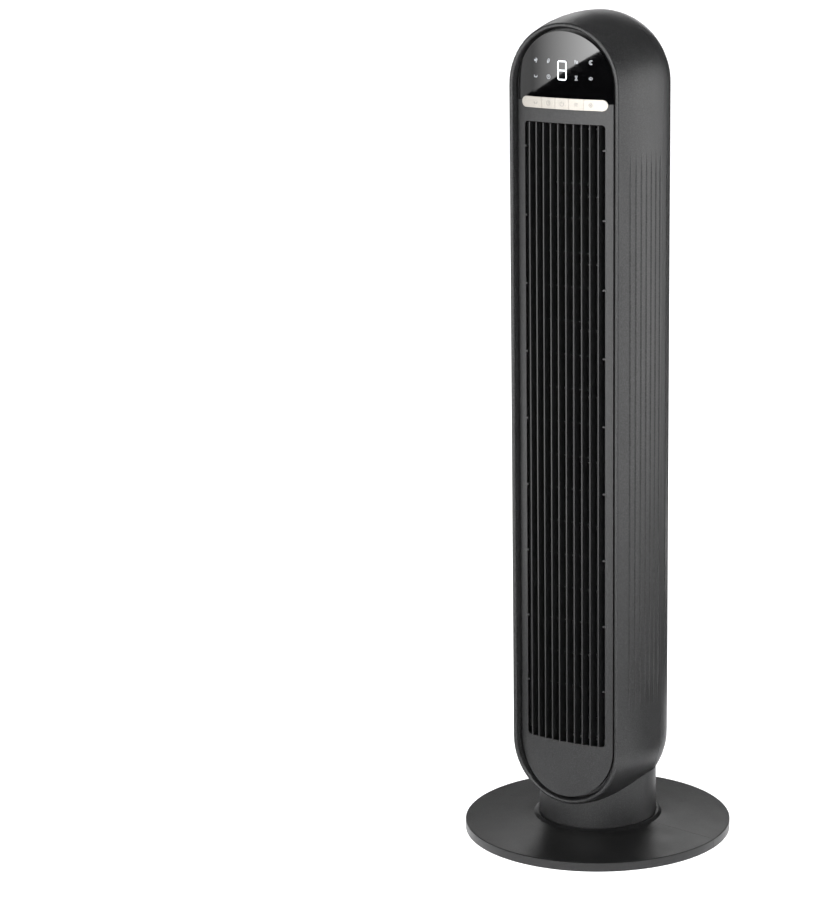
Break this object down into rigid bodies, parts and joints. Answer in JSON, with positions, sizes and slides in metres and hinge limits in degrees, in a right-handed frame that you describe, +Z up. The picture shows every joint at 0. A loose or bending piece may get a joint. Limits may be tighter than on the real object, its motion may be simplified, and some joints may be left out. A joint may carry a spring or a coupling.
{
  "type": "tower fan",
  "caption": "Slim upright tower fan with rounded ends, a finned front outlet, a dark display with a key strip, and a round swivelling base.",
  "frame": {"origin": "floor level, on the swivel axis at the centre of the round base", "axes": "+Z up, -Y out of the front grille, +X to the right as seen from the front"},
  "size_m": [0.3, 0.3, 0.9199],
  "materials": {
    "charcoal_shell": "fine grained charcoal plastic",
    "grille_plastic": "satin charcoal plastic",
    "base_plastic": "semi-gloss black plastic",
    "underside_plastic": "matt black plastic",
    "ballast_steel": "bare pressed steel",
    "foot_rubber": "matt rubber",
    "screw_steel": "zinc plated",
    "black_screw": "black oxide",
    "pivot_steel": "turned steel",
    "gear_plastic": "natural acetal",
    "bush_bronze": "sintered bronze",
    "inner_plastic": "matt black plastic",
    "impeller_plastic": "glass filled black plastic",
    "hub_aluminium": "turned aluminium",
    "motor_steel": "galvanised steel",
    "lamination_steel": "stacked laminations",
    "winding_copper": "enamelled copper",
    "display_gloss": "high gloss black",
    "circuit_board": "solder mask green",
    "component_black": "moulded black",
    "light_guide": "milky clear",
    "key_champagne": "satin champagne",
    "cable_sheath": "smooth black sheath"
  },
  "bodies": {
    "base": {"base_front_cover": "base_plastic", "base_rear_cover": "base_plastic", "base_plate": "underside_plastic", "base_weight": "ballast_steel", "base_feet": "foot_rubber", "base_screws": "screw_steel", "cord_gland": "foot_rubber", "pivot_post": "pivot_steel", "slide_ring": "gear_plastic", "sun_gear": "gear_plastic", "pivot_washer": "pivot_steel", "pivot_nut": "pivot_steel"},
    "tower": {"turntable": "inner_plastic", "turntable_screws": "screw_steel", "neck_collar": "charcoal_shell", "swivel_motor": "motor_steel", "swivel_motor_screws": "screw_steel", "front_housing": "charcoal_shell", "rear_housing": "charcoal_shell", "housing_screws": "black_screw", "front_grille": "grille_plastic", "display_lens": "display_gloss", "display_board": "circuit_board", "display_board_screws": "screw_steel", "digit_module": "light_guide", "indicator_lights": "light_guide", "infrared_receiver": "component_black", "key_switches": "component_black", "motor_deck": "inner_plastic", "top_deck": "inner_plastic", "bearing_rubber": "foot_rubber", "bearing_bush": "bush_bronze", "motor_housing": "motor_steel", "motor_stator": "lamination_steel", "motor_windings": "winding_copper", "motor_bearings": "pivot_steel", "motor_cushions": "foot_rubber", "motor_screws": "screw_steel", "air_guide": "inner_plastic", "air_tongue": "inner_plastic", "power_board": "circuit_board", "power_board_parts": "component_black", "display_cable": "cable_sheath"},
    "impeller": {"motor_rotor": "lamination_steel", "motor_shaft": "pivot_steel", "drive_hub": "hub_aluminium", "upper_axle": "pivot_steel", "impeller_cage": "impeller_plastic"},
    "pinion": {"swivel_pinion": "gear_plastic"},
    "swing_button": {"swing_button": "key_champagne"},
    "timer_button": {"timer_button": "key_champagne"},
    "power_button": {"power_button": "key_champagne"},
    "mode_button": {"mode_button": "key_champagne"},
    "speed_button": {"speed_button": "key_champagne"}
  },
  "joints": [
    {"name": "oscillate", "type": "hinge", "parent": "base", "child": "tower", "pos_m": [0, 0, 0.03], "axis": [0, 0, 1], "range_deg": [-45, 45]},
    {"name": "pinion_spin", "type": "hinge", "parent": "tower", "child": "pinion", "pos_m": [0.0375, 0, 0.048], "axis": [0, 0, 1], "range_deg": [-180, 180]},
    {"name": "impeller_spin", "type": "hinge", "parent": "tower", "child": "impeller", "pos_m": [0, 0.004, 0.47], "axis": [0, 0, 1], "continuous": true},
    {"name": "swing_press", "type": "slide", "parent": "tower", "child": "swing_button", "axis": [0, 1, 0], "range_m": [0, 0.0008], "stiffness_N_per_m": 800},
    {"name": "timer_press", "type": "slide", "parent": "tower", "child": "timer_button", "axis": [0, 1, 0], "range_m": [0, 0.0008], "stiffness_N_per_m": 800},
    {"name": "power_press", "type": "slide", "parent": "tower", "child": "power_button", "axis": [0, 1, 0], "range_m": [0, 0.0008], "stiffness_N_per_m": 800},
    {"name": "mode_press", "type": "slide", "parent": "tower", "child": "mode_button", "axis": [0, 1, 0], "range_m": [0, 0.0008], "stiffness_N_per_m": 800},
    {"name": "speed_press", "type": "slide", "parent": "tower", "child": "speed_button", "axis": [0, 1, 0], "range_m": [0, 0.0008], "stiffness_N_per_m": 800}
  ],
  "couplings": [
    {"joint": "pinion_spin", "follows": "oscillate", "ratio": 4}
  ]
}
